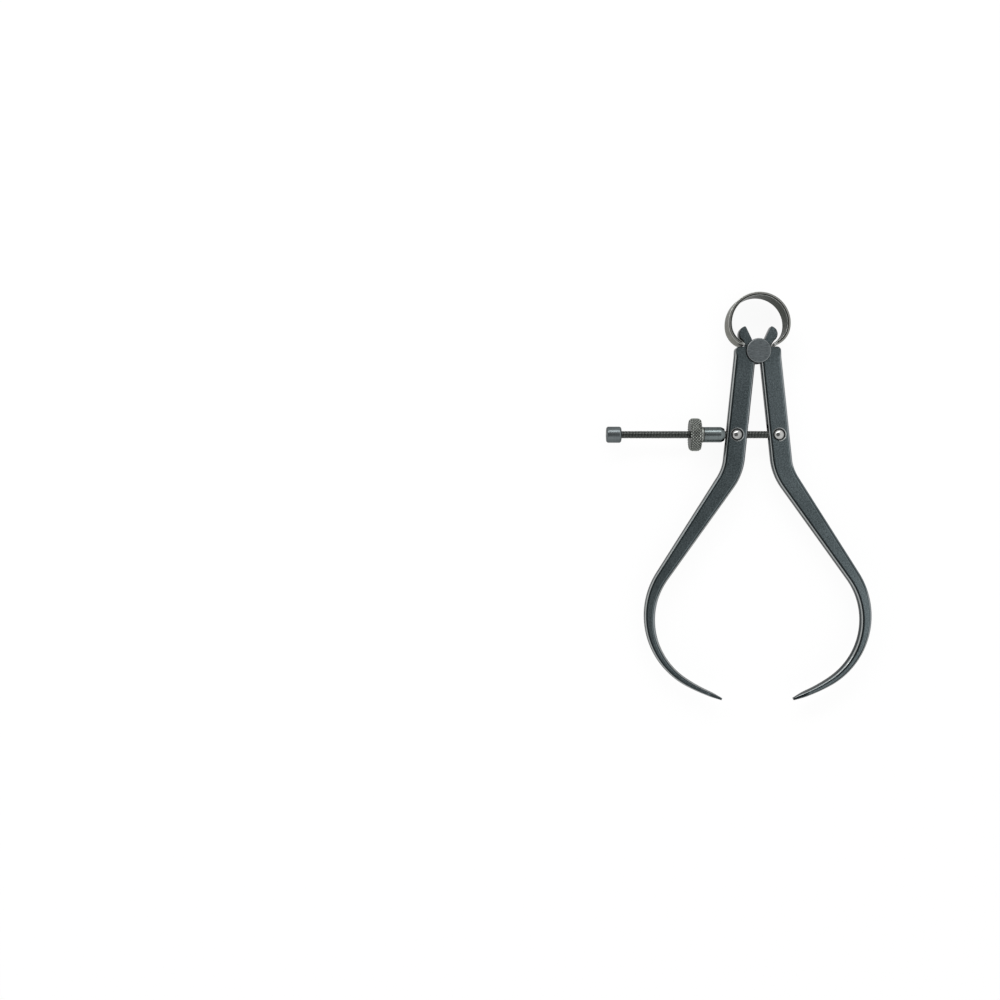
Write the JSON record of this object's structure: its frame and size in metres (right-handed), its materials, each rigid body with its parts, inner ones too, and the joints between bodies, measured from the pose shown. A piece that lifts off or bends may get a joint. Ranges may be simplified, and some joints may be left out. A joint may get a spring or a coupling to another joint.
{
  "type": "outside spring caliper",
  "caption": "Outside spring caliper with two bowed legs on a fulcrum roller, a bow spring and a knurled nut on a cross screw, for gauging outside sizes.",
  "frame": {"origin": "on the fulcrum axis, at the centre of the fulcrum roller's back face", "axes": "+Y from the tips toward the bow spring, +Z out of the front face with the domed pins, +X to the right as seen from the front; the caliper lies on its back"},
  "size_m": [0.1135, 0.1743, 0.0142],
  "materials": {
    "dark_steel": "dark grey-blue oxide with bright worn edges",
    "ground_steel": "fine ground face",
    "spring_steel": "drawn strip with lengthwise lines",
    "screw_steel": "dark cut thread",
    "turned_steel": "turned and knurled",
    "bright_steel": "bright turned",
    "polished_steel": "polished"
  },
  "bodies": {
    "fulcrum": {"fulcrum_roller": "ground_steel"},
    "left_leg": {"left_leg": "dark_steel"},
    "right_leg": {"right_leg": "dark_steel"},
    "bow_spring": {"bow_spring": "spring_steel"},
    "left_trunnion": {"left_trunnion": "polished_steel"},
    "screw": {"adjusting_screw": "screw_steel", "screw_end_stop": "ground_steel", "right_trunnion": "polished_steel"},
    "sleeve": {"thrust_sleeve": "bright_steel"},
    "nut": {"adjusting_nut": "turned_steel"}
  },
  "joints": [
    {"name": "left_leg_swing", "type": "hinge", "parent": "fulcrum", "child": "left_leg", "pos_m": [0, 0, 0.004], "axis": [0, 0, -1], "range_deg": [-5.75, 23.5]},
    {"name": "right_leg_swing", "type": "hinge", "parent": "fulcrum", "child": "right_leg", "pos_m": [0, 0, 0.004], "axis": [0, 0, 1], "range_deg": [-5.76, 23.52]},
    {"name": "bow_rise", "type": "slide", "parent": "fulcrum", "child": "bow_spring", "axis": [0, 1, 0], "range_m": [-0.00078, 0.0032]},
    {"name": "left_pin_swivel", "type": "hinge", "parent": "left_leg", "child": "left_trunnion", "pos_m": [-0.00899, -0.03576, 0.004], "axis": [0, 0, 1], "range_deg": [-5.76, 23.52]},
    {"name": "right_pin_swivel", "type": "hinge", "parent": "right_leg", "child": "screw", "pos_m": [0.00899, -0.03576, 0.004], "axis": [0, 0, -1], "range_deg": [-5.76, 23.52]},
    {"name": "sleeve_shift", "type": "slide", "parent": "left_trunnion", "child": "sleeve", "axis": [-1, 0, 0], "range_m": [-0.00034, 0.00139]},
    {"name": "nut_spin", "type": "hinge", "parent": "sleeve", "child": "nut", "pos_m": [-0.02908, -0.03576, 0.004], "axis": [-1, 0, 0], "range_deg": [-3944.8, 16122.1]}
  ],
  "couplings": [
    {"joint": "right_leg_swing", "follows": "left_leg_swing", "ratio": 1},
    {"joint": "left_pin_swivel", "follows": "left_leg_swing", "ratio": 1},
    {"joint": "right_pin_swivel", "follows": "left_leg_swing", "ratio": 1},
    {"joint": "sleeve_shift", "follows": "left_leg_swing", "m_per_rad": 0.0033747},
    {"joint": "bow_rise", "follows": "left_leg_swing", "m_per_rad": 0.0077922},
    {"joint": "nut_spin", "follows": "left_leg_swing", "ratio": 685.36}
  ]
}
